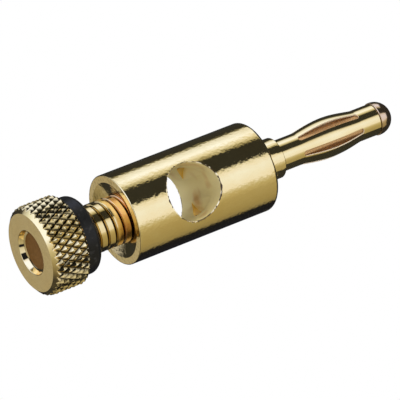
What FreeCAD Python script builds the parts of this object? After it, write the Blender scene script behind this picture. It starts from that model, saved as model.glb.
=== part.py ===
import FreeCAD, Part
import math
import os
import Sketcher

# Banana plug with a screw clamp for the wire.
# Millimetres. The plug stands on the knob's face: the origin is the centre of that face,
# +Z runs up the plug's axis to the contact's tip, and the wire hole runs along Y.

SIZES = {
    # knurled knob
    "knob_dia": 10.0,
    "knob_length": 4.3,
    "knob_face_bevel_width": 0.67,
    "knob_face_bevel_height": 0.56,
    "knob_rear_bevel": 0.2,
    "knurl_depth": 0.32,
    "knurl_count": 36,
    "knurl_angle": 30.0,
    "recess_dia": 4.88,
    "recess_floor_dia": 4.4,
    "recess_depth": 0.7,
    "recess_edge_break": 0.08,
    # threaded stud
    "stud_dia": 5.32,
    "stud_tip_bevel": 0.45,
    "stud_tip_setback": 0.1,
    # marker ring
    "ring_dia": 8.65,
    "ring_thickness": 2.0,
    "ring_front_round": 0.8,
    "ring_rear_break": 0.2,
    "ring_bore_clearance": 0.06,
    "ring_end_play": 0.05,
    # barrel
    "barrel_dia": 10.0,
    "barrel_length": 17.75,
    "barrel_front_round": 0.5,
    "barrel_rear_break": 0.12,
    "barrel_open_gap": 4.09,
    "stud_bore_clearance": 0.04,
    "stud_bore_depth": 10.5,
    "rear_rim_width": 0.8,
    "countersink_depth": 0.6,
    "wire_hole_dia": 6.3,
    "wire_hole_from_rear": 7.6,
    "boss_dia": 4.54,
    "boss_length": 2.81,
    "boss_break": 0.15,
    # contact core
    "core_dia": 2.98,
    "core_seat_depth": 5.0,
    "tip_dia": 3.7,
    "tip_rim_height": 0.22,
    "tip_rim_break": 0.08,
    # spring cage round the core
    "cage_end_play": 0.05,
    "cage_length": 12.8,
    "cage_band_dia": 3.5,
    "cage_sheet": 0.2,
    "cage_bulge_dia": 4.48,
    "slot_from_end": 2.64,
    "slot_length": 7.9,
    "slot_width": 0.96,
    "slot_end_width": 0.45,
    "slot_pairs": 3,
    "seam_width": 0.12,
    "seam_turn": 55.5,
}


class Size:
    """A length that knows its value and its formula over the sheet's cells."""

    def __init__(self, value, formula):
        self.value = value
        self.formula = formula

    def __add__(self, other):
        other = as_size(other)
        return Size(self.value + other.value, "(%s + %s)" % (self.formula, other.formula))

    def __sub__(self, other):
        other = as_size(other)
        return Size(self.value - other.value, "(%s - %s)" % (self.formula, other.formula))

    def __mul__(self, other):
        other = as_size(other)
        return Size(self.value * other.value, "(%s * %s)" % (self.formula, other.formula))

    def __truediv__(self, other):
        other = as_size(other)
        return Size(self.value / other.value, "(%s / %s)" % (self.formula, other.formula))


def as_size(thing):
    """A plain number as a size, or the size itself."""
    if isinstance(thing, Size):
        return thing
    return Size(float(thing), str(float(thing)))


def cell(name):
    """One driving dimension of the sheet."""
    return Size(float(sheet.get(name)), "sizes." + name)


def make_sheet(doc):
    """The spreadsheet of driving dimensions, each cell with an alias."""
    table = doc.addObject("Spreadsheet::Sheet", "sizes")
    for row, (name, value) in enumerate(SIZES.items(), start=1):
        table.set("A%d" % row, name)
        table.set("B%d" % row, str(value))
        table.setAlias("B%d" % row, name)
    doc.recompute()
    return table


def new_body(name):
    body = doc.addObject("PartDesign::Body", name)
    body.Label = name
    return body


def new_sketch(body, name, plane_role):
    """An empty sketch on one of the body's own origin planes."""
    plane = [item for item in body.Origin.OriginFeatures if item.Role == plane_role][0]
    sketch = body.newObject("Sketcher::SketchObject", name)
    sketch.AttachmentSupport = [(plane, "")]
    sketch.MapMode = "FlatFace"
    return sketch


def bind(sketch, constraint, size, name):
    """Adds a dimension whose value comes from the sheet."""
    index = sketch.addConstraint(constraint)
    sketch.renameConstraint(index, name)
    sketch.setExpression("Constraints." + name, size.formula)


def place_point(sketch, geometry, end, across, up, name):
    """Fixes a sketch point at (across, up) from the sketch's origin; 0 means on the axis."""
    if isinstance(across, Size):
        bind(sketch, Sketcher.Constraint("DistanceX", -1, 1, geometry, end, across.value), across,
             name + "_across")
    else:
        sketch.addConstraint(Sketcher.Constraint("PointOnObject", geometry, end, -2))
    if isinstance(up, Size):
        bind(sketch, Sketcher.Constraint("DistanceY", -1, 1, geometry, end, up.value), up,
             name + "_up")
    else:
        sketch.addConstraint(Sketcher.Constraint("PointOnObject", geometry, end, -1))


def point(corner):
    return FreeCAD.Vector(as_size(corner[0]).value, as_size(corner[1]).value, 0)


def arc_between(start, end, radius):
    """The shallow arc from start to end that bows to the right of the sketch's upright axis."""
    half = (end - start).Length / 2
    rise = radius - math.sqrt(radius ** 2 - half ** 2)
    crest = (start + end) / 2 + FreeCAD.Vector(rise, 0, 0)
    return Part.Arc(start, crest, end)


def profile(body, name, corners, arcs=None):
    """A closed outline on the body's XZ plane, one side per corner.

    A corner is (radius, height). arcs gives the radius of each side that bows outwards.
    """
    arcs = arcs or {}
    sketch = new_sketch(body, name, "XZ_Plane")
    ends = []
    for side, corner in enumerate(corners):
        start = point(corner)
        end = point(corners[(side + 1) % len(corners)])
        if side in arcs:
            upwards = end.y > start.y
            low, high = (start, end) if upwards else (end, start)
            sketch.addGeometry(arc_between(low, high, arcs[side].value), False)
            ends.append((1, 2) if upwards else (2, 1))
        else:
            sketch.addGeometry(Part.LineSegment(start, end), False)
            ends.append((1, 2))
    for side in range(len(corners)):
        before = (side - 1) % len(corners)
        sketch.addConstraint(
            Sketcher.Constraint("Coincident", before, ends[before][1], side, ends[side][0]))
    for side, corner in enumerate(corners):
        place_point(sketch, side, ends[side][0], corner[0], corner[1], "corner%d" % side)
    for side, radius in arcs.items():
        bind(sketch, Sketcher.Constraint("Radius", side, radius.value), radius, "bow%d" % side)
    return sketch


def revolve(body, name, corners, arcs=None):
    """A full turn of a profile about the body's axis."""
    sketch = profile(body, name + "_profile", corners, arcs)
    turn = body.newObject("PartDesign::Revolution", name)
    turn.Profile = sketch
    turn.ReferenceAxis = (sketch, ["V_Axis"])
    turn.Angle = 360
    doc.recompute()
    return turn


def through_pocket(body, sketch, name):
    """Cuts a sketch's outline right through the body, both ways from its plane."""
    pocket = body.newObject("PartDesign::Pocket", name)
    pocket.Profile = sketch
    pocket.Type = "ThroughAll"
    pocket.SideType = "Symmetric"
    doc.recompute()
    return pocket


def round_edge(body, base, name, radius, height, edge_radius):
    """Rounds the circular edge of that radius at that height."""
    for number, edge in enumerate(base.Shape.Edges, start=1):
        circle = edge.Curve
        if not isinstance(circle, Part.Circle):
            continue
        same_height = abs(circle.Center.z - height.value) < 1e-6
        same_radius = abs(circle.Radius - radius.value) < 1e-6
        if same_height and same_radius:
            rounding = body.newObject("PartDesign::Fillet", name)
            rounding.Base = (base, ["Edge%d" % number])
            rounding.setExpression("Radius", edge_radius.formula)
            doc.recompute()
            return rounding
    raise ValueError("no circular edge for " + name)


def lift(part, height):
    part.setExpression(".Placement.Base.z", height.formula)


def barrel_rear():
    """Height of the barrel's rear face: knob, ring and the open gap come under it."""
    return ring_bottom() + cell("ring_thickness") + cell("barrel_open_gap")


def ring_bottom():
    return cell("knob_length") + cell("ring_end_play")


def boss_front():
    return barrel_rear() + cell("barrel_length") + cell("boss_length")


def knob_blank():
    """The turned knob before it is knurled, with its recess and its bore for the stud."""
    body = new_body("knob_blank")
    outer = cell("knob_dia") / 2
    length = cell("knob_length")
    recess = cell("recess_dia") / 2
    edge_break = cell("recess_edge_break")
    rear_bevel = cell("knob_rear_bevel")
    stud = cell("stud_dia") / 2
    revolve(body, "knob_turned", [
        (recess + edge_break, 0),
        (outer - cell("knob_face_bevel_width"), 0),
        (outer, cell("knob_face_bevel_height")),
        (outer, length - rear_bevel),
        (outer - rear_bevel, length),
        (stud, length),
        (stud, cell("recess_depth")),
        (cell("recess_floor_dia") / 2, cell("recess_depth")),
        (recess, edge_break),
    ])
    return body


def knurl_form():
    """A closed form with crossed helical V grooves, longer than the knob at both ends.

    The grooves cross at every second point of a grid of rows and columns, and each diamond
    between them rises to a point, so the form is four flat facets to each diamond.
    """
    outer = cell("knob_dia").value / 2
    valley = outer - cell("knurl_depth").value
    columns = 2 * int(cell("knurl_count").value)
    column_width = 2 * math.pi * outer / columns
    row_height = column_width / math.tan(math.radians(cell("knurl_angle").value))
    length = cell("knob_length").value
    rows = math.ceil(length / row_height) + 1
    bottom = (length - rows * row_height) / 2

    def vertex(column, row):
        radius = outer if (column + row) % 2 else valley
        angle = 2 * math.pi * column / columns
        return FreeCAD.Vector(radius * math.cos(angle), radius * math.sin(angle),
                              bottom + row * row_height)

    def facet(*corners):
        return Part.Face(Part.makePolygon(list(corners) + [corners[0]]))

    faces = []
    for row in range(rows + 1):
        for column in range(columns):
            if (column + row) % 2 == 0:
                continue
            crest = vertex(column, row)
            left = vertex(column - 1, row)
            right = vertex(column + 1, row)
            if row < rows:
                above = vertex(column, row + 1)
                faces.append(facet(crest, right, above))
                faces.append(facet(crest, above, left))
            if row > 0:
                below = vertex(column, row - 1)
                faces.append(facet(crest, below, right))
                faces.append(facet(crest, left, below))
    for row in (0, rows):
        faces.append(facet(*[vertex(column, row) for column in range(columns)]))
    shell = Part.makeShell(faces)
    shell.sewShape()
    form = doc.addObject("Part::Feature", "knurl_form")
    form.Shape = Part.makeSolid(shell)
    return form


def screw_knob():
    """The knob: its turned blank inside the knurl's grooves."""
    pieces = [knob_blank(), knurl_form()]
    knob = doc.addObject("Part::MultiCommon", "screw_knob")
    knob.Shapes = pieces
    knob.Label = "screw_knob"
    return knob


def screw_stud():
    """The clamping stud, pressed into the knob against the lip of the recess.

    It is drawn wound back until its tip stands just clear of the wire hole.
    """
    body = new_body("screw_stud")
    radius = cell("stud_dia") / 2
    bevel = cell("stud_tip_bevel")
    foot = cell("recess_depth")
    hole_edge = barrel_rear() + cell("wire_hole_from_rear") - cell("wire_hole_dia") / 2
    length = hole_edge - cell("stud_tip_setback") - foot
    revolve(body, "stud_turned", [
        (0, 0),
        (radius, 0),
        (radius, length - bevel),
        (radius - bevel, length),
        (0, length),
    ])
    lift(body, foot)
    return body


def marker_ring():
    """The black ring that lies between the knob and the barrel."""
    body = new_body("marker_ring")
    outer = cell("ring_dia") / 2
    inner = cell("stud_dia") / 2 + cell("ring_bore_clearance")
    thickness = cell("ring_thickness")
    edge_break = cell("ring_rear_break")
    base = revolve(body, "ring_turned", [
        (inner, 0),
        (outer - edge_break, 0),
        (outer, edge_break),
        (outer, thickness),
        (inner, thickness),
    ])
    round_edge(body, base, "ring_front_rounding", outer, thickness, cell("ring_front_round"))
    lift(body, ring_bottom())
    return body


def barrel():
    """The barrel with its boss, stud bore, wire hole and blind seat for the core."""
    body = new_body("barrel")
    outer = cell("barrel_dia") / 2
    length = cell("barrel_length")
    boss = cell("boss_dia") / 2
    front = length + cell("boss_length")
    core = cell("core_dia") / 2
    bore = cell("stud_dia") / 2 + cell("stud_bore_clearance")
    rear_break = cell("barrel_rear_break")
    boss_break = cell("boss_break")
    base = revolve(body, "barrel_turned", [
        (outer - cell("rear_rim_width"), 0),
        (outer - rear_break, 0),
        (outer, rear_break),
        (outer, length),
        (boss, length),
        (boss, front - boss_break),
        (boss - boss_break, front),
        (core, front),
        (core, front - cell("core_seat_depth")),
        (0, front - cell("core_seat_depth")),
        (0, cell("stud_bore_depth")),
        (bore, cell("stud_bore_depth")),
        (bore, cell("countersink_depth")),
    ])
    round_edge(body, base, "front_rounding", outer, length, cell("barrel_front_round"))
    sketch = new_sketch(body, "wire_hole_circle", "XZ_Plane")
    centre_height = cell("wire_hole_from_rear")
    radius = cell("wire_hole_dia") / 2
    centre = FreeCAD.Vector(0, centre_height.value, 0)
    sketch.addGeometry(Part.Circle(centre, FreeCAD.Vector(0, 0, 1), radius.value), False)
    place_point(sketch, 0, 3, 0, centre_height, "centre")
    bind(sketch, Sketcher.Constraint("Radius", 0, radius.value), radius, "hole_radius")
    through_pocket(body, sketch, "wire_hole")
    lift(body, barrel_rear())
    return body


def core_pin():
    """The contact's core: a rod pressed into the boss, with a domed head at the tip."""
    body = new_body("core_pin")
    rod = cell("core_dia") / 2
    head = cell("tip_dia") / 2
    seat = cell("core_seat_depth")
    collar = seat + cell("cage_end_play") * 2 + cell("cage_length")
    dome = collar + cell("tip_rim_height")
    edge_break = cell("tip_rim_break")
    revolve(body, "core_turned", [
        (0, 0),
        (rod, 0),
        (rod, collar),
        (head - edge_break, collar),
        (head, collar + edge_break),
        (head, dome),
        (0, dome + head),
    ], arcs={5: head})
    lift(body, boss_front() - seat)
    return body


def slot_sketch(body):
    """One long slot with round ends, centred on the cage's axis.

    Its sides bow apart, since the leaves between the slots keep their width at the bulge.
    """
    end_radius = cell("slot_end_width") / 2
    low = cell("slot_from_end") + end_radius
    high = cell("slot_from_end") + cell("slot_length") - end_radius
    rise = cell("slot_width") / 2 - end_radius
    half = (high - low) / 2
    bow = (half * half + rise * rise) / (rise * 2)
    sketch = new_sketch(body, "slot_outline", "YZ_Plane")
    across = end_radius.value
    middle = (low.value + high.value) / 2
    crest = across + rise.value
    ends = [(low, math.pi), (high, 0)]
    for height, start in ends:
        circle = Part.Circle(FreeCAD.Vector(0, height.value, 0), FreeCAD.Vector(0, 0, 1), across)
        sketch.addGeometry(Part.ArcOfCircle(circle, start, start + math.pi), False)
    for side, first, last in ((1, low, high), (-1, high, low)):
        sketch.addGeometry(Part.Arc(FreeCAD.Vector(side * across, first.value, 0),
                                    FreeCAD.Vector(side * crest, middle, 0),
                                    FreeCAD.Vector(side * across, last.value, 0)), False)
    joined = [(0, 2, 2, 1), (2, 2, 1, 1), (1, 2, 3, 1), (3, 2, 0, 1)]
    for corner in joined:
        sketch.addConstraint(Sketcher.Constraint("Coincident", *corner))
    for number, (height, start) in enumerate(ends):
        place_point(sketch, number, 3, 0, height, "centre%d" % number)
        bind(sketch, Sketcher.Constraint("Radius", number, across), end_radius,
             "end_radius%d" % number)
        for end in (1, 2):
            sketch.addConstraint(Sketcher.Constraint("Horizontal", number, end, number, 3))
    for number in (2, 3):
        bind(sketch, Sketcher.Constraint("Radius", number, bow.value), bow, "bow%d" % number)
    return sketch


def seam_sketch(body):
    """The narrow gap where the rolled sheet's two edges meet, over the cage's whole length."""
    half = cell("seam_width").value / 2
    length = cell("cage_length").value
    sketch = new_sketch(body, "seam_outline", "YZ_Plane")
    corners = [(-half, 0), (half, 0), (half, length), (-half, length)]
    for number, corner in enumerate(corners):
        following = corners[(number + 1) % 4]
        sketch.addGeometry(Part.LineSegment(point(corner), point(following)), False)
    for number in range(4):
        sketch.addConstraint(Sketcher.Constraint("Coincident", number, 2, (number + 1) % 4, 1))
    sketch.addConstraint(Sketcher.Constraint("PointOnObject", 0, 1, -1))
    sketch.addConstraint(Sketcher.Constraint("Symmetric", 0, 1, 0, 2, -2))
    sketch.addConstraint(Sketcher.Constraint("Symmetric", 2, 1, 2, 2, -2))
    sketch.addConstraint(Sketcher.Constraint("Vertical", 1))
    bind(sketch, Sketcher.Constraint("DistanceX", 0, 1, 0, 2, half * 2), cell("seam_width"),
         "seam_width")
    bind(sketch, Sketcher.Constraint("DistanceY", 1, 1, 1, 2, length), cell("cage_length"),
         "seam_length")
    return sketch


def spring_cage():
    """A rolled spring sheet: two bands joined by bowed leaves with slots between them."""
    body = new_body("spring_cage")
    band = cell("cage_band_dia") / 2
    inside = band - cell("cage_sheet")
    rise = cell("cage_bulge_dia") / 2 - band
    half = cell("slot_length") / 2
    bow = (half * half + rise * rise) / (rise * 2)
    low = cell("slot_from_end")
    high = low + cell("slot_length")
    length = cell("cage_length")
    revolve(body, "cage_rolled", [
        (band, 0),
        (band, low),
        (band, high),
        (band, length),
        (inside, length),
        (inside, high),
        (inside, low),
        (inside, 0),
    ], arcs={1: bow, 5: bow})
    slot = through_pocket(body, slot_sketch(body), "slot_pair")
    slots = body.newObject("PartDesign::PolarPattern", "slots")
    slots.Originals = [slot]
    axis = [item for item in body.Origin.OriginFeatures if item.Role == "Z_Axis"][0]
    slots.Axis = (axis, [""])
    slots.setExpression("Occurrences", "sizes.slot_pairs")
    slots.Mode = "Spacing"
    slots.setExpression("Offset", "180 / sizes.slot_pairs")
    body.Tip = slots
    doc.recompute()
    seam = body.newObject("PartDesign::Pocket", "seam")
    seam.Profile = seam_sketch(body)
    seam.Type = "ThroughAll"
    seam.Reversed = True
    body.Tip = seam
    lift(body, boss_front() + cell("cage_end_play"))
    body.setExpression(".Placement.Rotation.Angle", "sizes.seam_turn")
    doc.recompute()
    return body


def check(parts):
    """Stops before anything is written if a feature or a sub-part has failed."""
    for item in doc.Objects:
        if "Invalid" in item.State or "Error" in item.State:
            raise ValueError("failed feature: " + item.Name)
    for part in parts:
        shape = part.Shape
        if shape.isNull() or not shape.isValid() or len(shape.Solids) != 1:
            raise ValueError("bad shape: " + part.Label)
        print(part.Label, "volume %.3f" % shape.Volume, "faces", len(shape.Faces),
              "height %.2f to %.2f" % (shape.BoundBox.ZMin, shape.BoundBox.ZMax))


doc = FreeCAD.newDocument("banana_plug")
sheet = make_sheet(doc)
parts = [barrel(), core_pin(), spring_cage(), marker_ring(), screw_knob(), screw_stud()]
doc.recompute()
check(parts)
os.makedirs("parts", exist_ok=True)
for part in parts:
    part.Shape.exportStep("parts/%s.step" % part.Label)
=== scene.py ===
import math
import random
from contextlib import contextmanager

import bmesh
import bpy
import numpy as np
from mathutils import Matrix, Vector


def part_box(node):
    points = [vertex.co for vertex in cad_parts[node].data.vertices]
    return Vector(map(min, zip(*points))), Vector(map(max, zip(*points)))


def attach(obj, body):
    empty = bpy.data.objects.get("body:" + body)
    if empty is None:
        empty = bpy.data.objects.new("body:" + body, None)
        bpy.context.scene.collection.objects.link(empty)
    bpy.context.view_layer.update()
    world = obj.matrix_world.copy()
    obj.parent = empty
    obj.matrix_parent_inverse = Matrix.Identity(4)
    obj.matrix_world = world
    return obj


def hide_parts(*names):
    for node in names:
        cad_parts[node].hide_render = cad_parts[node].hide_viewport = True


# Banana plug with a screw clamp. Lengths are in millimetres until a mesh is made.

MM = 0.001
TINY = 1e-6

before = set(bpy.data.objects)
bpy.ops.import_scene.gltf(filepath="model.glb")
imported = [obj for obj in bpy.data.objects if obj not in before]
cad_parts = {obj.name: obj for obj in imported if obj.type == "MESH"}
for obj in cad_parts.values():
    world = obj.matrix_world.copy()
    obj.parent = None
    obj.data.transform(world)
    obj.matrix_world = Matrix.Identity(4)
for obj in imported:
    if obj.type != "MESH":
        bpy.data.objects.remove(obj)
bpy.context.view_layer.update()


def extent(node):
    """Largest radius, lowest and highest z of a CAD node."""
    low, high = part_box(node)
    return max(high[0], high[1]) / MM, low[2] / MM, high[2] / MM


BARREL_RADIUS, REAR, BOSS_FRONT = extent("barrel")
KNOB_RADIUS, _, KNOB_REAR = extent("screw_knob")
STUD_RADIUS, STUD_FOOT, STUD_TIP = extent("screw_stud")
RING_RADIUS, RING_FOOT, RING_TOP = extent("marker_ring")
HEAD_RADIUS, CORE_FOOT, TIP = extent("core_pin")
BULGE_RADIUS, CAGE_FOOT, CAGE_TOP = extent("spring_cage")

BOSS_RADIUS = 2.27
BOSS_LENGTH = 2.81
SHOULDER = BOSS_FRONT - BOSS_LENGTH
CORE_RADIUS = 1.49
BORE_RADIUS = 2.70
BORE_END = REAR + 10.5
REAR_LAND = 0.8
COUNTERSINK_DEPTH = 0.6
HOLE_RADIUS = 3.15
HOLE_HEIGHT = REAR + 7.6
SEAM_TURN = math.radians(55.5)
BOW_POWER = 1.15
KNOB_LENGTH = 4.3
RECESS_RADIUS = 2.44
RECESS_LIP = 0.08


# Meshes

def add_object(name, data):
    """Puts a mesh, lamp or camera in the scene."""
    thing = bpy.data.objects.new(name, data)
    bpy.context.scene.collection.objects.link(thing)
    return thing


def mesh_piece(name, vertices, faces):
    """A piece from vertices in millimetres."""
    mesh = bpy.data.meshes.new(name)
    mesh.from_pydata([(x * MM, y * MM, z * MM) for x, y, z in vertices], [], faces)
    mesh.update()
    return add_object(name, mesh)


def discard(piece):
    """Removes a piece with its mesh."""
    mesh = piece.data
    bpy.data.objects.remove(piece)
    bpy.data.meshes.remove(mesh)


@contextmanager
def edited(mesh):
    """A mesh opened for bmesh operations, and written back afterwards."""
    made = bmesh.new()
    made.from_mesh(mesh)
    yield made
    made.to_mesh(mesh)
    made.free()


def face_outwards(piece):
    """Turns the faces of a closed piece so that they all look outwards."""
    with edited(piece.data) as made:
        bmesh.ops.recalc_face_normals(made, faces=made.faces)


def cut_away(piece, cutters):
    """Subtracts closed cutters from a piece and removes them."""
    for cutter in cutters:
        cut = piece.modifiers.new("cut", "BOOLEAN")
        cut.operation = "DIFFERENCE"
        cut.solver = "EXACT"
        cut.object = cutter
    graph = bpy.context.evaluated_depsgraph_get()
    result = bpy.data.meshes.new_from_object(piece.evaluated_get(graph))
    piece.modifiers.clear()
    old = piece.data
    piece.data = result
    bpy.data.meshes.remove(old)
    for cutter in cutters:
        discard(cutter)
    result.name = piece.name


def shade_smooth(mesh):
    """Smooth shading on every face."""
    mesh.polygons.foreach_set("use_smooth", [True] * len(mesh.polygons))


def shade(piece, sharp_degrees):
    """Smooth shading, with edges over that angle kept sharp."""
    shade_smooth(piece.data)
    piece.data.set_sharp_from_angle(angle=math.radians(sharp_degrees))


def paint(piece, *looks):
    """Gives a piece its materials, in the order of its material indices."""
    piece.data.materials.clear()
    for look in looks:
        piece.data.materials.append(MATERIALS[look])


def polar(radius, angle, height):
    """A point by its distance from the axis, its turn round it and its height."""
    return (radius * math.cos(angle), radius * math.sin(angle), height)


def sideways(depth, across, turn, height):
    """A point of a cutter that looks outwards at that turn round the axis."""
    return (depth * math.cos(turn) - across * math.sin(turn),
            depth * math.sin(turn) + across * math.cos(turn), height)


def ring_cells(columns, rows, first=0, closed=False):
    """The corners of each cell of a grid whose columns close into a ring, and its rows if asked."""
    for column in range(columns):
        here = first + rows * column
        following = first + rows * ((column + 1) % columns)
        for row in range(rows if closed else rows - 1):
            beside = (row + 1) % rows
            yield here + row, following + row, following + beside, here + beside


# Turned profiles. A run is a list of (radius, height, outward normal, upward normal).

def straight(start, end):
    """A straight run of an outline with the metal on its left."""
    across = end[0] - start[0]
    up = end[1] - start[1]
    length = math.hypot(across, up)
    facing = (up / length, -across / length)
    return [start + facing, end + facing]


def rounding(centre, radius, start, end, steps=6):
    """A convex round from one angle to the other, in degrees from straight out."""
    run = []
    for step in range(steps + 1):
        angle = math.radians(start + (end - start) * step / steps)
        facing = (math.cos(angle), math.sin(angle))
        run.append((centre[0] + radius * facing[0], centre[1] + radius * facing[1]) + facing)
    return run


def turned(name, runs, columns):
    """A surface of revolution about the plug's axis."""
    rings = {}
    vertices = []
    faces = []

    def ring(radius, height):
        """The vertices of a ring, with the first one again at the end."""
        key = (round(radius, 5), round(height, 5))
        if key not in rings:
            first = len(vertices)
            count = columns if radius > TINY else 1
            for column in range(count):
                vertices.append(polar(radius, 2 * math.pi * column / columns, height))
            rings[key] = [first + column % count for column in range(columns + 1)]
        return rings[key]

    for run in runs:
        for start, end in zip(run, run[1:]):
            low = ring(*start[:2])
            high = ring(*end[:2])
            for column in range(columns):
                corners = [low[column], low[column + 1], high[column + 1], high[column]]
                faces.append(list(dict.fromkeys(corners)))
    return mesh_piece(name, vertices, faces)


def turned_surface(start, end, touching=0.004):
    """The surface that one step of a run turns, for exact_normals."""
    across, up, outer_change, upper_change = (last - first for first, last in zip(start, end))

    def surface(corners):
        radius = np.hypot(corners[:, 0], corners[:, 1])
        outwards = corners[:, :2] / np.where(radius > TINY, radius, 1.0)[:, None]
        height = corners[:, 2] - start[1]
        along = (radius - start[0]) * across + height * up
        along = np.clip(along / (across * across + up * up), 0, 1)
        gap = np.hypot(radius - start[0] - along * across, height - along * up)
        out = start[2] + along * outer_change
        rise = start[3] + along * upper_change
        return gap < touching, np.column_stack([outwards * out[:, None], rise])

    return surface


def turned_surfaces(runs):
    """The surfaces of all the steps of an outline."""
    return [turned_surface(start, end) for run in runs for start, end in zip(run, run[1:])]


def face_facts(mesh):
    """Position in millimetres and face normal of every face corner."""
    places = np.empty(len(mesh.vertices) * 3)
    mesh.vertices.foreach_get("co", places)
    owners = np.empty(len(mesh.loops), dtype=np.int32)
    mesh.loops.foreach_get("vertex_index", owners)
    totals = np.empty(len(mesh.polygons), dtype=np.int32)
    mesh.polygons.foreach_get("loop_total", totals)
    facing = np.empty(len(mesh.polygons) * 3)
    mesh.polygons.foreach_get("normal", facing)
    corners = places.reshape(-1, 3)[owners] / MM
    return corners, np.repeat(facing.reshape(-1, 3), totals, axis=0)


def exact_normals(piece, surfaces, widest_degrees=33):
    """Shades a mesh by the surfaces it was made from, not by its facets.

    A surface says which face corners lie on it, and its normals there. Each corner takes the
    normal that is nearest its face's own, within the widest angle.
    """
    mesh = piece.data
    shade_smooth(mesh)
    corners, facing = face_facts(mesh)
    chosen = facing.copy()
    closeness = np.full(len(corners), math.cos(math.radians(widest_degrees)))
    for surface in surfaces:
        near, normals = surface(corners)
        length = np.linalg.norm(normals, axis=1)
        normals = normals / np.where(length > TINY, length, 1.0)[:, None]
        match = np.einsum("ij,ij->i", normals, facing)
        better = near & (match > closeness)
        chosen[better] = normals[better]
        closeness[better] = match[better]
    mesh.normals_split_custom_set(chosen.tolist())


# Barrel

def barrel_runs():
    """The barrel's outline, from its rear face round the outside and back through the bore."""
    rear_round = 0.12
    front_round = 0.5
    boss_round = 0.15
    outer = BARREL_RADIUS
    return [
        straight((outer - REAR_LAND, REAR), (outer - rear_round, REAR)),
        rounding((outer - rear_round, REAR + rear_round), rear_round, -90, 0),
        straight((outer, REAR + rear_round), (outer, SHOULDER - front_round)),
        rounding((outer - front_round, SHOULDER - front_round), front_round, 0, 90, 10),
        straight((outer - front_round, SHOULDER), (BOSS_RADIUS, SHOULDER)),
        straight((BOSS_RADIUS, SHOULDER), (BOSS_RADIUS, BOSS_FRONT - boss_round)),
        rounding((BOSS_RADIUS - boss_round, BOSS_FRONT - boss_round), boss_round, 0, 90),
        straight((BOSS_RADIUS - boss_round, BOSS_FRONT), (CORE_RADIUS, BOSS_FRONT)),
        straight((CORE_RADIUS, BOSS_FRONT), (CORE_RADIUS, CORE_FOOT)),
        straight((CORE_RADIUS, CORE_FOOT), (0.0, CORE_FOOT)),
        straight((0.0, BORE_END), (BORE_RADIUS, BORE_END)),
        straight((BORE_RADIUS, BORE_END), (BORE_RADIUS, REAR + COUNTERSINK_DEPTH)),
        straight((BORE_RADIUS, REAR + COUNTERSINK_DEPTH), (outer - REAR_LAND, REAR)),
    ]


def wire_hole_cutter(columns=180):
    """The wire hole, with an uneven broken edge where it runs out of the barrel's side."""
    noise = random.Random(5)
    rough = [noise.uniform(0.05, 0.19) for column in range(columns)]
    beyond = 8
    rows = 6
    vertices = []
    for column in range(columns):
        angle = 2 * math.pi * column / columns
        across = math.cos(angle)
        up = math.sin(angle)
        edge = (rough[column] + rough[column - 1]) / 2
        mouth = math.sqrt(BARREL_RADIUS ** 2 - (HOLE_RADIUS * across) ** 2)
        inner = mouth - edge
        outer = mouth + 3 * edge
        flare = 4 * edge
        for depth, grow in ((-beyond, flare), (-outer, flare), (-inner, 0),
                            (inner, 0), (outer, flare), (beyond, flare)):
            radius = HOLE_RADIUS + grow
            vertices.append((radius * across, depth, HOLE_HEIGHT + radius * up))
    faces = [list(cell) for cell in ring_cells(columns, rows)]
    faces.append([rows * column for column in range(columns)][::-1])
    faces.append([rows * column + rows - 1 for column in range(columns)])
    cutter = mesh_piece("cutter", vertices, faces)
    face_outwards(cutter)
    return cutter


def hole_edge_bead(columns=240, sides=6):
    """The thin uneven bead of plating on the wire hole's two rims, as vertices and faces."""
    noise = random.Random(8)
    reach = HOLE_RADIUS + 0.075
    sunk_radius = BARREL_RADIUS - 0.06
    half_depth = 0.05
    vertices = []
    faces = []
    for side in (-1, 1):
        thick = [noise.uniform(0.05, 0.11) for column in range(columns)]
        first = len(vertices)
        for column in range(columns):
            angle = 2 * math.pi * column / columns
            depth = math.sqrt(sunk_radius ** 2 - (reach * math.cos(angle)) ** 2)
            for corner in range(sides):
                turn = 2 * math.pi * corner / sides
                grown = reach + thick[column] * math.cos(turn)
                vertices.append((grown * math.cos(angle),
                                 side * (depth + half_depth * math.sin(turn)),
                                 HOLE_HEIGHT + grown * math.sin(angle)))
        for here, following, above, beside in ring_cells(columns, sides, first, closed=True):
            quad = [here, beside, above, following]
            faces.append(quad if side > 0 else quad[::-1])
    return vertices, faces


def hole_wall(corners):
    """The wire hole's wall as a surface for exact_normals."""
    across = corners[:, 0]
    up = corners[:, 2] - HOLE_HEIGHT
    near = np.abs(np.hypot(across, up) - HOLE_RADIUS) < 0.006
    return near, np.column_stack([-across, np.zeros(len(across)), -up])


def barrel_look(face, first_bead):
    """Material index of a face: 2 on the wire hole's rims, 1 on drilled walls, 0 elsewhere."""
    skin = 0.08
    rim_width = 0.24
    slack = 0.02
    centre = face.center / MM
    normal = face.normal
    from_hole = math.hypot(centre.x, centre.z - HOLE_HEIGHT) - HOLE_RADIUS
    inside = math.hypot(centre.x, centre.y) < BARREL_RADIUS - skin
    at_rim = slack < from_hole < rim_width and not inside
    tilted = abs(normal.x * centre.y - normal.y * centre.x) > 0.3 or abs(normal.z) > 0.08
    if face.index >= first_bead or at_rim and tilted:
        return 2
    on_wall = abs(from_hole) < 1.5 * slack and inside
    at_bore_end = abs(centre.z - BORE_END) < 0.001 and abs(normal.z) > 0.9
    return 1 if on_wall or at_bore_end else 0


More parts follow.
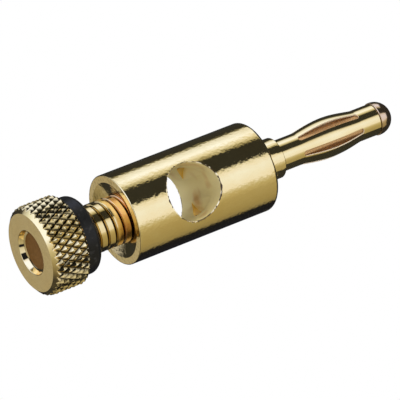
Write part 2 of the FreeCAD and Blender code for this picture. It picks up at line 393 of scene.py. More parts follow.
def make_barrel():
    """Barrel and boss in one piece, with the wire hole and the bead on its rims."""
    runs = barrel_runs()
    piece = turned("barrel_body", runs, 288)
    cut_away(piece, [wire_hole_cutter()])
    first_bead = len(piece.data.polygons)
    bead = mesh_piece("bead", *hole_edge_bead())
    with edited(piece.data) as made:
        made.from_mesh(bead.data)
    discard(bead)
    exact_normals(piece, turned_surfaces(runs) + [hole_wall])
    paint(piece, "barrel", "hole", "rim")
    for face in piece.data.polygons:
        face.material_index = barrel_look(face, first_bead)
    return piece


# Contact

def make_core():
    """The contact's core: a rod with a domed head at the tip."""
    head_rim = 0.08
    collar = CAGE_TOP + 0.05
    dome = TIP - HEAD_RADIUS
    runs = [
        straight((0.0, CORE_FOOT), (CORE_RADIUS, CORE_FOOT)),
        straight((CORE_RADIUS, CORE_FOOT), (CORE_RADIUS, collar)),
        straight((CORE_RADIUS, collar), (HEAD_RADIUS - head_rim, collar)),
        rounding((HEAD_RADIUS - head_rim, collar + head_rim), head_rim, -90, 0),
        straight((HEAD_RADIUS, collar + head_rim), (HEAD_RADIUS, dome)),
        rounding((0.0, dome), HEAD_RADIUS, 0, 90, 24),
    ]
    piece = turned("contact_core", runs, 128)
    exact_normals(piece, turned_surfaces(runs))
    paint(piece, "core")
    return piece


def bowed(radius, rise, low, high, steps=28):
    """The bow of the spring leaves, which starts and ends without a kink."""
    run = []
    for step in range(steps + 1):
        share = step / steps
        wave = math.sin(math.pi * share)
        reach = rise * wave ** BOW_POWER
        slope = 0.0
        if 0 < step < steps:
            steepness = BOW_POWER * wave ** (BOW_POWER - 1) * math.cos(math.pi * share)
            slope = rise * steepness * math.pi / (high - low)
        length = math.hypot(1, slope)
        run.append((radius + reach, low + (high - low) * share, 1 / length, -slope / length))
    return run


def slot_outline(half, swell, low, high, side_steps=24, end_steps=10):
    """A long slot with round ends, as points across and up it.

    The leaves keep their width as they bow out, so the slot is widest halfway along.
    """
    side = []
    for step in range(side_steps + 1):
        height = low + half + (high - low - 2 * half) * (step / side_steps)
        wave = math.sin(math.pi * (height - low) / (high - low)) ** BOW_POWER
        side.append((half + swell * wave, height))
    foot = side[0][1]
    reach, head = side[-1]
    turns = [math.pi * step / end_steps for step in range(1, end_steps)]
    upper_end = [(reach * math.cos(turn), head + half * math.sin(turn)) for turn in turns]
    other_side = [(-across, up) for across, up in reversed(side)]
    lower_end = [(-reach * math.cos(turn), foot - half * math.sin(turn)) for turn in turns]
    return side + upper_end + other_side + lower_end


def slot_cutter(outline, turn):
    """A cutter for a slot of that outline, right through the cage on both sides."""
    beyond = 4.0
    vertices = [sideways(depth, across, turn, up)
                for depth in (-beyond, beyond) for across, up in outline]
    count = len(outline)
    faces = [list(range(count))[::-1], list(range(count, 2 * count))]
    for corner in range(count):
        following = (corner + 1) % count
        faces.append([corner, following, count + following, count + corner])
    cutter = mesh_piece("cutter", vertices, faces)
    face_outwards(cutter)
    return cutter


def seam_cutter(width, turn):
    """A cutter for the narrow gap where the rolled sheet's edges meet, on one side only."""
    near = 0.5
    beyond = 4.0
    half = width / 2
    vertices = [sideways(depth, across, turn, up)
                for up in (CAGE_FOOT - 1, CAGE_TOP + 1)
                for depth, across in ((near, -half), (beyond, -half), (beyond, half), (near, half))]
    faces = [[3, 2, 1, 0], [4, 5, 6, 7], [0, 1, 5, 4], [1, 2, 6, 5], [2, 3, 7, 6], [3, 0, 4, 7]]
    return mesh_piece("cutter", vertices, faces)


def cage_runs(low, high):
    """The rolled sheet's outline: two bands with the bow between those heights."""
    band = 1.75
    sheet = 0.2
    edge = 0.05
    inside = band - sheet
    outer = bowed(band, BULGE_RADIUS - band, low, high)
    inner = [(radius - sheet, height, -out, -rise) for radius, height, out, rise in reversed(outer)]
    return [
        straight((inside, CAGE_FOOT), (band - edge, CAGE_FOOT)),
        rounding((band - edge, CAGE_FOOT + edge), edge, -90, 0, 3),
        straight((band, CAGE_FOOT + edge), (band, low)),
        outer,
        straight((band, high), (band, CAGE_TOP - edge)),
        rounding((band - edge, CAGE_TOP - edge), edge, 0, 90, 3),
        straight((band - edge, CAGE_TOP), (inside, CAGE_TOP)),
        straight((inside, CAGE_TOP), (inside, high)),
        inner,
        straight((inside, low), (inside, CAGE_FOOT)),
    ]


def make_cage():
    """The spring cage, with its slots, its seam and the slots' broken edges."""
    rear_band = 2.64
    leaf_length = 7.9
    low = CAGE_FOOT + rear_band
    high = low + leaf_length
    runs = cage_runs(low, high)
    piece = turned("spring_leaves", runs, 180)
    outline = slot_outline(half=0.31, swell=0.17, low=low, high=high)
    cutters = [slot_cutter(outline, SEAM_TURN + math.pi * pair / 3) for pair in range(3)]
    cutters.append(seam_cutter(width=0.12, turn=SEAM_TURN))
    cut_away(piece, cutters)
    with edited(piece.data) as made:
        bmesh.ops.remove_doubles(made, verts=made.verts[:], dist=0.0001 * MM)
        sharp = [edge for edge in made.edges if edge.is_manifold and edge.calc_face_angle() > 0.7]
        bmesh.ops.bevel(made, geom=sharp, offset=0.08 * MM, segments=1, affect="EDGES",
                        clamp_overlap=True)
    exact_normals(piece, turned_surfaces(runs))
    paint(piece, "spring", "slot_edge")
    # The slots' side and edge faces take the painted edge highlight.
    for face in piece.data.polygons:
        centre = face.center / MM
        outwards = face.normal.x * centre.x + face.normal.y * centre.y
        outwards /= math.hypot(centre.x, centre.y)
        if abs(outwards) < 0.9 and low - 0.1 < centre.z < high + 0.1:
            face.material_index = 1
    return piece


# Marker ring

def make_ring():
    """The marker ring, well rounded towards the barrel."""
    inner = STUD_RADIUS + 0.06
    front = 0.8
    rear = 0.2
    runs = [
        straight((inner, RING_FOOT), (RING_RADIUS - rear, RING_FOOT)),
        rounding((RING_RADIUS - rear, RING_FOOT + rear), rear, -90, 0),
        straight((RING_RADIUS, RING_FOOT + rear), (RING_RADIUS, RING_TOP - front)),
        rounding((RING_RADIUS - front, RING_TOP - front), front, 0, 90, 12),
        straight((RING_RADIUS - front, RING_TOP), (inner, RING_TOP)),
        straight((inner, RING_TOP), (inner, RING_FOOT)),
    ]
    piece = turned("marker_band", runs, 160)
    exact_normals(piece, turned_surfaces(runs))
    paint(piece, "ring")
    return piece


# Knurled knob

def ridge(place):
    """0 on a groove and 1 halfway between two, for grooves at the even numbers."""
    return 1 - abs((place % 2) - 1) if place % 2 > 1 else place % 2


class Knurl:
    """Crossed helical grooves that leave a worn pyramid between every four of them.

    A place on the knurl is u cells round the knob and v rows up it. Grooves run where u + v or
    u - v is even. A cell has that many divisions of the mesh, both ways.
    """

    cells = 72
    rows = 7
    divisions = 8
    columns = cells * divisions
    depth = 0.32
    helix = math.radians(30)
    margin = 0.02

    def __init__(self):
        self.row_height = 2 * math.pi * KNOB_RADIUS / self.cells / math.tan(self.helix)
        self.foot = (KNOB_LENGTH - self.rows * self.row_height) / 2
        self.noise = random.Random(11)
        self.worn = {}

    def pyramid(self, column, row):
        """How much of a pyramid's crest is left, and how its top leans both ways."""
        key = (column % self.cells, row)
        if key not in self.worn:
            crest = self.noise.uniform(0.86, 1.0)
            leans = [self.noise.uniform(-0.05, 0.05) for way in range(2)]
            self.worn[key] = (crest, *leans)
        return self.worn[key]

    def nearest(self, u, v):
        """Column and row of the pyramid that a place is on."""
        column = round(u)
        row = round(v)
        if (column + row) % 2 == 0:
            if abs(u - column) > abs(v - row):
                column += 1 if u > column else -1
            else:
                row += 1 if v > row else -1
        return column, row

    def radius(self, column, height):
        """Distance of the knurled surface from the axis."""
        u = column / self.divisions
        v = (height - self.foot) / self.row_height
        share = 1 - (1 - min(ridge(u + v), ridge(u - v))) ** 1.18
        top_column, top_row = self.nearest(u, v)
        crest, lean_u, lean_v = self.pyramid(top_column, top_row)
        share += (lean_u * (u - top_column) + lean_v * (v - top_row)) * share
        return KNOB_RADIUS - self.depth + self.depth * min(share, crest)

    def levels(self):
        """Number and height of each row of the mesh that lies between the knob's two faces."""
        step = self.row_height / self.divisions
        number = math.ceil((self.margin - self.foot) / step)
        while self.foot + number * step < KNOB_REAR - self.margin:
            yield number, self.foot + number * step
            number += 1


def inner_rings():
    """Radius and height of the knob's plain rings, from its bore over the recess to its face."""
    floor = 2.03
    ledge = 0.57
    rings = [
        (STUD_RADIUS, KNOB_REAR),
        (STUD_RADIUS, STUD_FOOT),
        (floor, STUD_FOOT),
        (floor + 0.01, STUD_FOOT - 0.07),
        (RECESS_RADIUS - 0.24, ledge),
        (RECESS_RADIUS - 0.18, ledge - 0.02),
        (RECESS_RADIUS - 0.01, RECESS_LIP + 0.03),
    ]
    for degrees in range(0, 91, 18):
        angle = math.radians(degrees)
        rings.append((RECESS_RADIUS + RECESS_LIP - RECESS_LIP * math.cos(angle),
                      RECESS_LIP - RECESS_LIP * math.sin(angle)))
    rings.append((RECESS_RADIUS + RECESS_LIP + 0.03, 0.0))
    rings.append((KNOB_RADIUS - 0.70, 0.0))
    return rings


def outer_radius(knurl, column, height):
    """The knurl, cut off by the bevels at the knob's face and rear."""
    face_width = 0.67
    face_height = 0.56
    rear_width = 0.2
    face_bevel = KNOB_RADIUS - face_width + height * face_width / face_height
    rear_bevel = KNOB_RADIUS - rear_width + (KNOB_REAR - height)
    return min(knurl.radius(column, height), face_bevel, rear_bevel)


def knob_faces(knurl, total, first_outer, first_number):
    """Faces between neighbouring rings. On the knurl they are split along the grooves."""
    faces = []
    for row in range(total):
        low = row * knurl.columns
        high = ((row + 1) % total) * knurl.columns
        number = first_number + row - first_outer
        for column in range(knurl.columns):
            following = (column + 1) % knurl.columns
            here = low + column
            beside = low + following
            across = high + following
            above = high + column
            if not first_outer <= row < total - 1:
                faces.append([here, beside, across, above])
            elif (column + number + 1) % (2 * knurl.divisions) == 0:
                faces += [[here, beside, above], [beside, across, above]]
            else:
                faces += [[here, beside, across], [here, across, above]]
    return faces


def make_knob():
    """The knob, with its recess and bore inside and its knurl and bevels outside."""
    knurl = Knurl()
    turns = [2 * math.pi * column / knurl.columns for column in range(knurl.columns)]
    plain = inner_rings()
    vertices = [polar(radius, turn, height) for radius, height in plain for turn in turns]
    levels = list(knurl.levels())
    heights = [0.0] + [height for number, height in levels] + [KNOB_REAR]
    for height in heights:
        for column, turn in enumerate(turns):
            vertices.append(polar(outer_radius(knurl, column, height), turn, height))
    faces = knob_faces(knurl, len(plain) + len(heights), len(plain), levels[0][0] - 1)
    piece = mesh_piece("knurled_knob", vertices, faces)
    shade(piece, 24)
    paint(piece, "knob", "recess")
    for face in piece.data.polygons:
        centre = face.center / MM
        reach = math.hypot(centre.x, centre.y)
        if centre.z < STUD_FOOT and reach < RECESS_RADIUS + RECESS_LIP:
            face.material_index = 1
    return piece


# Threaded stud

def thread_profile(depth):
    """One turn of the thread, as shares of the pitch and radii: a root and a flat crest."""
    root = STUD_RADIUS - depth
    crest = STUD_RADIUS
    shoulder = crest - 0.04
    return [(0.0, root), (0.05, root), (0.17, shoulder), (0.21, crest), (0.82, crest),
            (0.86, shoulder)]


def thread_grid(profile, pitch, columns=144):
    """A helical grid, so the crest and root edges follow the thread, as vertices and faces."""
    tip_chamfer = 0.45
    least_radius = 0.5
    foot = STUD_FOOT - 1.5
    per_turn = len(profile)
    rows = per_turn * (int(STUD_TIP - STUD_FOOT) + 4)
    vertices = []
    for row in range(rows + per_turn):
        share, radius = profile[row % per_turn]
        for column in range(columns):
            height = foot + pitch * (row // per_turn + share + column / columns)
            reach = min(radius, STUD_RADIUS - tip_chamfer + max(0, STUD_TIP - height))
            reach = max(reach, least_radius)
            vertices.append(polar(reach, 2 * math.pi * column / columns, height))
    faces = []
    for row in range(rows - 1):
        here = row * columns
        above = here + columns
        for column in range(columns - 1):
            faces.append([here + column, here + column + 1, above + column + 1, above + column])
        turn_on = per_turn * columns
        faces.append([above - 1, here + turn_on, above + turn_on, above + columns - 1])
    return vertices, faces


def trim(made, height, up):
    """Cuts off what is above a height, or below it where up is -1, and closes the end."""
    everything = made.verts[:] + made.edges[:] + made.faces[:]
    cut = bmesh.ops.bisect_plane(made, geom=everything, plane_co=(0, 0, height * MM),
                                 plane_no=(0, 0, up), clear_outer=True, dist=1e-9)
    rim = [item for item in cut["geom_cut"] if isinstance(item, bmesh.types.BMEdge)]
    bmesh.ops.contextual_create(made, geom=rim)


def make_stud():
    """The threaded stud, trimmed flat at both ends."""
    piece = mesh_piece("threaded_stud", *thread_grid(thread_profile(depth=0.38), pitch=1.0))
    with edited(piece.data) as made:
        trim(made, STUD_FOOT, -1)
        trim(made, STUD_TIP, 1)
        loose = [vertex for vertex in made.verts if not vertex.link_faces]
        bmesh.ops.delete(made, geom=loose, context="VERTS")
    face_outwards(piece)
    shade(piece, 26)
    paint(piece, "stud", "stud_end")
    for face in piece.data.polygons:
        if face.center.z / MM < STUD_FOOT + 0.01 and abs(face.normal.z) > 0.9:
            face.material_index = 1
    return piece


# Materials. Colours are red, green and blue.

GOLD = (0.93, 0.72, 0.33)
DEEP_GOLD = (0.90, 0.67, 0.28)


class Tree:
    """Short calls for building a node tree."""

    def __init__(self, owner):
        owner.use_nodes = True
        self.nodes = owner.node_tree.nodes
        self.links = owner.node_tree.links
        self.nodes.clear()

    def add(self, kind, **settings):
        """A new node with those settings."""
        node = self.nodes.new(kind)
        for name, value in settings.items():
            setattr(node, name, value)
        return node

    def feed(self, socket, source):
        """Links a socket to another node's output, or sets its value or colour."""
        if isinstance(source, bpy.types.NodeSocket):
            self.links.new(source, socket)
        elif socket.type == "RGBA":
            socket.default_value = (*source, 1.0)
        else:
            socket.default_value = source

    def fed(self, kind, *sources, **settings):
        """A new node's first output, with its first inputs fed in order."""
        node = self.add(kind, **settings)
        for socket, source in zip(node.inputs, sources):
            self.feed(socket, source)
        return node.outputs[0]

    def calc(self, operation, *values):
        """The result of a sum on one to three values."""
        return self.fed("ShaderNodeMath", *values, operation=operation)

    def times(self, first, *others):
        """The product of several values."""
        for other in others:
            first = self.calc("MULTIPLY", first, other)
        return first

    def spread(self, value, low, high, new_low, new_high, smooth=False):
        """A value between two levels, spread between two new ones."""
        way = "SMOOTHSTEP" if smooth else "LINEAR"
        return self.fed("ShaderNodeMapRange", value, low, high, new_low, new_high,
                        interpolation_type=way)

    def fade(self, value, low, high):
        """Rises softly from 0 to 1 between two levels."""
        return self.spread(value, low, high, 0.0, 1.0, True)

    def mix(self, share, first, second):
        """Goes from the first colour to the second."""
        node = self.add("ShaderNodeMix", data_type="RGBA")
        self.feed(node.inputs[0], share)
        self.feed(node.inputs[6], first)
        self.feed(node.inputs[7], second)
        return node.outputs[2]

    def place(self, kind="Object"):
        """The x, y and z of the point in question, by default in the object's own metres."""
        parts = self.add("ShaderNodeSeparateXYZ")
        self.links.new(self.add("ShaderNodeTexCoord").outputs[kind], parts.inputs[0])
        return list(parts.outputs)

    def reach(self, x, y):
        """Distance from the axis."""
        squares = self.calc("ADD", self.calc("POWER", x, 2.0), self.calc("POWER", y, 2.0))
        return self.calc("SQRT", squares)

    def noise(self, scale, detail=2.0, stretch=(1, 1, 1)):
        """Noise over the object's own metres; scale is in features to the millimetre."""
        place = self.add("ShaderNodeTexCoord")
        mapping = self.add("ShaderNodeMapping")
        mapping.inputs["Scale"].default_value = stretch
        self.links.new(place.outputs["Object"], mapping.inputs["Vector"])
        node = self.add("ShaderNodeTexNoise")
        node.inputs["Scale"].default_value = scale / MM
        node.inputs["Detail"].default_value = detail
        self.links.new(mapping.outputs[0], node.inputs["Vector"])
        return node.outputs["Fac"]

    def patches(self, scale, detail, low, high, new_low=0.0, new_high=1.0, smooth=False):
        """Noise, spread from between two of its levels to between two new ones."""
        return self.spread(self.noise(scale, detail), low, high, new_low, new_high, smooth)

    def drift(self, bright, dull, scale=0.35):
        """A slow change between two colours."""
        return self.mix(self.patches(scale, 3.0, 0.35, 0.7), bright, dull)

    def polish(self, low, high):
        """Uneven roughness between two values."""
        return self.patches(1.2, 4.0, 0.3, 0.7, low, high)

    def bump(self, height, distance, normal=None):
        """Relief that many millimetres high, laid over another bump if there is one."""
        node = self.add("ShaderNodeBump")
        node.inputs["Distance"].default_value = distance * MM
        self.links.new(height, node.inputs["Height"])
        if normal is not None:
            self.links.new(normal, node.inputs["Normal"])
        return node.outputs[0]

    def surface(self, **inputs):
        """The material's shader, with its inputs by name."""
        shader = self.add("ShaderNodeBsdfPrincipled")
        for name, value in inputs.items():
            self.feed(shader.inputs[name.replace("_", " ")], value)
        self.show(shader.outputs[0])

    def blend(self, share, first, second):
        """Goes from the first shader to the second."""
        return self.fed("ShaderNodeMixShader", share, first, second)

    def show(self, shader, kind="Material"):
        """Makes a shader the result of the tree."""
        output = self.add("ShaderNodeOutput" + kind)
        self.links.new(shader, output.inputs["Surface"])


def plated(tree, bright, dull, rough, grain_size, grain_height, wave_height=0.0006, wave_size=2.0):
    """Polished plating: slight colour drift, fine buffing grain and a faint long waviness."""
    waves = tree.bump(tree.noise(1 / wave_size, 1.0), wave_height)
    normal = tree.bump(tree.noise(1 / grain_size), grain_height, waves)
    tree.surface(Base_Color=tree.drift(bright, dull), Metallic=1.0,
                 Roughness=tree.polish(rough * 0.8, rough * 1.3), Normal=normal)


def drilled(tree):
    """The wire hole's wall: dull pale plating with drill marks round it, brown stain patches and
    one brown patch of painted shade near the end of the bore.
    """
    painted_shade_patch_centre = (1.2, 1.1, 20.9)
    away = 0.0
    for along, centre in zip(tree.place(), painted_shade_patch_centre):
        apart = tree.calc("SUBTRACT", along, centre * MM)
        away = tree.calc("ADD", tree.times(apart, apart), away)
    ragged = tree.times(tree.noise(1.0), 0.8 * MM)
    away = tree.calc("ADD", tree.calc("SQRT", away), ragged)
    # Painted shade: a brown patch round a fixed point near the end of the bore, later mixed in with
    # the stain patches.
    painted_shade_patch = tree.spread(away, 0.7 * MM, 1.7 * MM, 0.8, 0.0)
    stains_and_shade = tree.patches(0.5, 1.0, 0.50, 0.80, 0.0, 0.6, True)
    stains_and_shade = tree.calc("MAXIMUM", stains_and_shade, painted_shade_patch)
    colour = tree.mix(stains_and_shade, (0.96, 0.84, 0.44), (0.66, 0.37, 0.10))
    marks = tree.bump(tree.noise(1.0, 3.0, (0.15, 3.0, 0.15)), 0.02)
    normal = tree.bump(tree.noise(3.5), 0.006, marks)
    tree.surface(Base_Color=colour, Metallic=0.35, Roughness=0.42, Normal=normal)


def ragged_rim(tree):
    """The broken edge of the wire hole: painted highlight and painted shade, in bright and near
    black dashes laid out by noise.
    """
    # Painted highlight and shade: noise splits the rim into bright and near black dashes.
    painted_glints_and_shade = tree.patches(1.5, 2.0, 0.44, 0.50)
    colour = tree.mix(painted_glints_and_shade, (1.0, 0.86, 0.55), (0.06, 0.032, 0.010))
    normal = tree.bump(tree.noise(4.0), 0.02)
    tree.surface(Base_Color=colour, Metallic=0.5, Roughness=0.3, Normal=normal)


def painted_edge_highlight(tree):
    """The slots' broken edges: a pale colour that paints a highlight along them, bright from every
    side.
    """
    normal = tree.bump(tree.noise(5.0), 0.004)
    # Painted highlight: the pale colour keeps the edges bright whatever they face.
    tree.surface(Base_Color=(1.0, 0.90, 0.70), Metallic=0.2, Roughness=0.35, Normal=normal)


def worn_stud(tree):
    """Plated thread. Towards the barrel the plating has rubbed thin and copper shows. Painted shade
    darkens the thread's roots.
    """
    plating = tree.drift((0.88, 0.66, 0.28), (0.84, 0.60, 0.23), 0.5)
    x, y, z = tree.place()
    height = tree.calc("ADD", z, tree.times(tree.noise(0.9, 3.0), 1.6 * MM))
    rubbed = tree.fade(height, (REAR - 0.6) * MM, (REAR + 0.6) * MM)
    rubbed = tree.times(rubbed, tree.patches(1.6, 3.0, 0.42, 0.58, 0.35, 0.95))
    colour = tree.mix(rubbed, plating, (0.86, 0.50, 0.25))
    # Painted shade: the colour darkens to near black in the thread's roots.
    root = tree.spread(tree.reach(x, y), (STUD_RADIUS - 0.30) * MM, (STUD_RADIUS - 0.06) * MM,
                       0.85, 0.0)
    colour = tree.mix(root, colour, (0.07, 0.045, 0.022))
    normal = tree.bump(tree.noise(5.0), 0.0014)
    tree.surface(Base_Color=colour, Metallic=1.0, Roughness=tree.polish(0.07, 0.13), Normal=normal)


def copper(tree):
    """The copper-brown core: drawn streaks along its rod and a polished, darker head."""
    streaks = tree.spread(tree.noise(3.0, 4.0, (1, 1, 0.04)), 0.38, 0.62, 0, 1)
    rod = tree.mix(streaks, (0.86, 0.55, 0.26), (0.46, 0.25, 0.10))
    x, y, z = tree.place()
    head = tree.spread(z, (CAGE_TOP + 0.02) * MM, (CAGE_TOP + 0.04) * MM, 0, 1)
    colour = tree.mix(head, rod, (0.72, 0.50, 0.28))
    roughness = tree.spread(head, 0, 1, 0.34, 0.13)
    metallic = tree.spread(head, 0, 1, 0.5, 1.0)
    normal = tree.bump(tree.noise(6.0, 2.0, (1, 1, 0.1)), 0.0008)
    tree.surface(Base_Color=colour, Metallic=metallic, Roughness=roughness, Normal=normal)


def knurled(tree):
    """The knob's plating. The knurl is rough, and painted shade darkens its grooves."""
    x, y, z = tree.place()
    reach = tree.calc("ADD", tree.reach(x, y), tree.times(tree.noise(3.0, 3.0), 0.12 * MM))
    outside = tree.spread(z, 0.45 * MM, 0.7 * MM, 0, 1)
    groove = tree.spread(reach, (KNOB_RADIUS - 0.25) * MM, (KNOB_RADIUS - 0.05) * MM, 1, 0)
    # Painted shade: the knurl's grooves are darkened to near black.
    painted_groove_shade = tree.times(outside, groove, 0.95)
    colour = tree.mix(painted_groove_shade, tree.drift(GOLD, DEEP_GOLD), (0.05, 0.038, 0.020))
    rim = tree.spread(reach, (KNOB_RADIUS - 0.75) * MM, (KNOB_RADIUS - 0.55) * MM, 0, 1)
    dents = tree.bump(tree.times(outside, rim, tree.noise(2.2)), 0.018)
    normal = tree.bump(tree.noise(6.0), 0.0022, dents)
    tree.surface(Base_Color=colour, Metallic=1.0, Roughness=tree.polish(0.09, 0.15), Normal=normal)


def rubber(tree):
    """Black moulded ring: near black, satin, with light scuffs and a fine grain."""
    scuffs = tree.patches(1.6, 6.0, 0.56, 0.72)
    colour = tree.mix(scuffs, (0.011, 0.011, 0.011), (0.036, 0.035, 0.034))
    roughness = tree.patches(2.5, 3.0, 0.3, 0.7, 0.26, 0.42)
    coarse = tree.bump(tree.noise(1.4), 0.006)
    normal = tree.bump(tree.noise(9.0), 0.003, coarse)
    tree.surface(Base_Color=colour, Roughness=roughness, Normal=normal, Specular_IOR_Level=0.2,
                 Specular_Tint=(1.0, 0.88, 0.64))


def brown_end(tree):
    """The stud's unplated end: matt brown metal, darkened towards its rim with painted shade."""
    x, y, z = tree.place()
    # Painted shade: the end darkens towards its rim, beside the knob's recess.
    rim = tree.fade(tree.reach(x, y), 1.9 * MM, RECESS_RADIUS * MM)
    mottle = tree.patches(2.2, 4.0, 0.35, 0.65)
    colour = tree.mix(mottle, (0.200, 0.094, 0.022), (0.165, 0.076, 0.017))
    colour = tree.mix(rim, colour, (0.060, 0.028, 0.009))
    normal = tree.bump(tree.noise(5.0, 3.0), 0.004)
    tree.surface(Base_Color=colour, Roughness=0.7, Normal=normal, Specular_IOR_Level=0.15,
                 Specular_Tint=(1.0, 0.8, 0.5))


def made_of(name, build, **settings):
    """A new material whose nodes come from that function."""
    material = bpy.data.materials.new(name)
    build(Tree(material), **settings)
    return material


def make_materials():
    """Every material of the object, by its short name."""
    return {
        "barrel": made_of("gold_barrel_look", plated, bright=GOLD, dull=DEEP_GOLD, rough=0.055,
                          grain_size=0.40, grain_height=0.022, wave_height=0.006, wave_size=1.1),
        "hole": made_of("gold_hole_look", drilled),
        "rim": made_of("gold_rim_look", ragged_rim),
        "core": made_of("copper_core_look", copper),
        "spring": made_of("gold_spring_look", plated, bright=GOLD, dull=DEEP_GOLD, rough=0.08,
                          grain_size=0.25, grain_height=0.0020),
        "slot_edge": made_of("slot_edge_painted_highlight_look", painted_edge_highlight),
        "ring": made_of("black_ring_look", rubber),
        "knob": made_of("gold_knob_look", knurled),
        "recess": made_of("gold_recess_look", plated, bright=(0.93, 0.75, 0.40),
                          dull=(0.91, 0.70, 0.34), rough=0.05, grain_size=0.2, grain_height=0.001),
        "stud": made_of("gold_stud_look", worn_stud),
        "stud_end": made_of("stud_end_look", brown_end),
    }


# Studio

HOT = (1.12, 1.34, 2.20)
WHITE = (0.99, 1.16, 1.74)
CREAM = (0.95, 1.04, 1.38)
FACE = (0.446, 0.435, 0.395)
DUSK = (0.20, 0.19, 0.14)
SHADE = (0.034, 0.037, 0.040)
INK = (0.011, 0.013, 0.022)
TABLE = (0.80, 0.86, 1.00)
PAPER = (1.0, 1.0, 1.0)
PALE_GREY = (0.8, 0.8, 0.8)
NEAR_WHITE = (0.98, 0.98, 0.98)

# What the metal mirrors well above, at and below the horizon: (bearing from the camera, colour).
UPPER_LIGHTS = [
    (-180, INK), (-113, INK), (-106, (0.28, 0.26, 0.17)), (-92, (0.36, 0.33, 0.20)),
    (-55, (0.45, 0.42, 0.28)), (-42, (0.56, 0.54, 0.40)), (-34, (0.70, 0.72, 0.72)),
    (-28, CREAM), (0, WHITE), (14, CREAM), (20, (0.70, 0.74, 0.80)), (24, SHADE), (63, SHADE),
    (67, (0.40, 0.40, 0.31)), (78, (0.87, 0.93, 1.05)), (90, HOT), (101, WHITE),
    (112, (0.85, 0.95, 1.27)), (117, (0.30, 0.31, 0.25)), (122, SHADE), (180, SHADE),
]
LEVEL_LIGHTS = [
    (-180, SHADE), (-110, SHADE), (-98, (0.25, 0.23, 0.17)), (-80, (0.42, 0.40, 0.29)),
    (-58, (0.52, 0.50, 0.38)), (-54, INK), (-43, INK), (-39, (0.66, 0.68, 0.66)),
    (-12, (0.86, 0.92, 1.10)), (-8, INK), (22, INK), (26, CREAM), (38, HOT), (76, HOT),
    (84, DUSK), (106, DUSK), (114, SHADE), (180, SHADE),
]
LOWER_LIGHTS = [
    (-180, FACE), (-160, FACE), (-150, (0.30, 0.28, 0.20)), (-138, (0.07, 0.07, 0.06)),
    (-112, (0.05, 0.05, 0.05)), (-98, (0.20, 0.18, 0.13)), (-82, (0.33, 0.31, 0.22)),
    (-50, (0.52, 0.52, 0.42)), (-15, (0.72, 0.74, 0.74)), (10, (0.86, 0.94, 1.20)), (38, HOT),
    (108, HOT), (124, (0.89, 1.05, 1.38)), (138, (0.52, 0.56, 0.68)), (152, (0.56, 0.60, 0.78)),
    (159, SHADE), (168, SHADE), (174, FACE), (180, FACE),
]

# The camera looks this many degrees off +Y.
VIEW_AZIMUTH = 1.75


def light_ramp(tree, share, stops):
    """Colours round the object by bearing."""
    node = tree.add("ShaderNodeValToRGB")
    tree.links.new(share, node.inputs[0])
    ramp = node.color_ramp
    while len(ramp.elements) < len(stops):
        ramp.elements.new(0.5)
    for element, stop in zip(ramp.elements, stops):
        element.position = (stop[0] + 180) / 360
    for element, stop in zip(ramp.elements, stops):
        element.color = (*stop[1], 1.0)
    return node.outputs[0]


def mirrored_cards(tree):
    """What the metal mirrors: the three rings of lights, dark overhead and pale underfoot."""
    x, y, z = tree.place("Generated")
    bearing = tree.calc("ARCTAN2", tree.times(x, -1.0), tree.times(y, -1.0))
    bearing = tree.calc("ADD", bearing, math.radians(VIEW_AZIMUTH))
    bearing = tree.calc("WRAP", bearing, math.pi, -math.pi)
    share = tree.spread(bearing, -math.pi, math.pi, 0.0, 1.0)
    upper, level, lower = [light_ramp(tree, share, stops)
                           for stops in (UPPER_LIGHTS, LEVEL_LIGHTS, LOWER_LIGHTS)]
    cards = tree.mix(tree.fade(z, -0.42, -0.34), lower, level)
    cards = tree.mix(tree.fade(z, -0.02, 0.10), cards, upper)
    roof = tree.times(tree.fade(y, -0.45, -0.30), tree.fade(z, 0.66, 0.76))
    overhead = tree.calc("MAXIMUM", roof, tree.fade(z, 0.86, 0.95))
    cards = tree.mix(overhead, cards, SHADE)
    underfoot = tree.spread(z, -0.995, -0.96, 1.0, 0.0, True)
    return tree.mix(underfoot, cards, TABLE)


def make_world():
    """White behind the object, even soft light on it, and cards for the metal to mirror."""
    world = bpy.data.worlds.new("studio")
    bpy.context.scene.world = world
    tree = Tree(world)
    white, soft, mirrored = [tree.fed("ShaderNodeBackground", colour)
                             for colour in (PAPER, PALE_GREY, mirrored_cards(tree))]
    path = tree.add("ShaderNodeLightPath")
    lit = tree.blend(path.outputs["Is Glossy Ray"], soft, mirrored)
    seen = tree.calc("MAXIMUM", path.outputs["Is Camera Ray"], path.outputs["Is Transmission Ray"])
    tree.show(tree.blend(seen, lit, white), "World")


def hide_from(thing, *rays):
    """Hides an object from those kinds of ray."""
    for ray in rays:
        setattr(thing, "visible_" + ray, False)


def fading_white(tree):
    """Matt white that shows only from above and fades out round the object."""
    x, y, z = tree.place()
    near = tree.spread(tree.reach(x, y), 30 * MM, 120 * MM, 1.0, 0.0, True)
    side = tree.add("ShaderNodeNewGeometry")
    share = tree.times(near, tree.calc("SUBTRACT", 1.0, side.outputs["Backfacing"]))
    clear = tree.fed("ShaderNodeBsdfTransparent")
    matt = tree.fed("ShaderNodeBsdfDiffuse", NEAR_WHITE)
    tree.show(tree.blend(share, clear, matt))


def make_floor():
    """A pale floor under the knob's face."""
    half = 400.0
    corners = [(-half, -half, 0), (half, -half, 0), (half, half, 0), (-half, half, 0)]
    floor = mesh_piece("floor", corners, [[0, 1, 2, 3]])
    floor.data.materials.append(made_of("pale_floor", fading_white))
    hide_from(floor, "glossy", "diffuse", "transmission", "shadow")


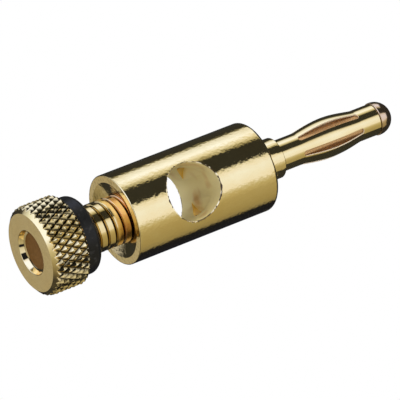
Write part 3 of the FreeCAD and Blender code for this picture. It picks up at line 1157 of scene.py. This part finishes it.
def shade_glow(tree):
    """A dark surface that takes no light."""
    tree.show(tree.fed("ShaderNodeEmission", SHADE))


def make_dark_card():
    """A dark card beside the contact, seen only in the metal: it darkens the pin's one side."""
    across = 12
    near, far = -3.6, 60
    low, high = 35, 90
    corners = [(across, near, low), (across, far, low), (across, far, high), (across, near, high)]
    card = mesh_piece("dark_card", corners, [[0, 1, 2, 3]])
    card.data.materials.append(made_of("dark_card", shade_glow))
    hide_from(card, "camera", "diffuse", "transmission", "shadow")


def make_lamp():
    """One large soft lamp for the matt parts and the floor. The metal doesn't mirror it."""
    data = bpy.data.lights.new("soft_lamp", "AREA")
    data.shape = "DISK"
    data.size = 0.5
    data.energy = 1.6
    lamp = add_object("soft_lamp", data)
    lamp.location = (-0.42, -0.34, 0.16)
    lamp.rotation_euler = (-lamp.location).to_track_quat("-Z", "Y").to_euler()
    hide_from(lamp, "glossy", "camera")


def make_camera():
    """A long lens, fitted to the photograph."""
    data = bpy.data.cameras.new("camera")
    data.lens = 428.72
    data.sensor_width = 36
    data.clip_end = 10
    camera = add_object("camera", data)
    right = Vector((0.35182, -0.43570, 0.82849))
    up = Vector((-0.93567, -0.13799, 0.32476))
    back = -Vector((0.02718, 0.88945, 0.45622))
    place = Vector((-12.457, -450.241, -210.186)) * MM
    turn = Matrix((right, up, back)).transposed()
    camera.matrix_world = Matrix.Translation(place) @ turn.to_4x4()
    bpy.context.scene.camera = camera


def stand_in(piece, node, body):
    """The piece is shown for a CAD node and moves with its body."""
    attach(piece, body)
    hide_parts(node)


bpy.context.scene.view_settings.view_transform = "Standard"
MATERIALS = make_materials()
make_camera()
make_world()
make_floor()
make_dark_card()
make_lamp()
stand_in(make_barrel(), "barrel", "plug_body")
stand_in(make_core(), "core_pin", "plug_body")
stand_in(make_cage(), "spring_cage", "cage")
stand_in(make_ring(), "marker_ring", "ring")
stand_in(make_knob(), "screw_knob", "clamp_screw")
stand_in(make_stud(), "screw_stud", "clamp_screw")
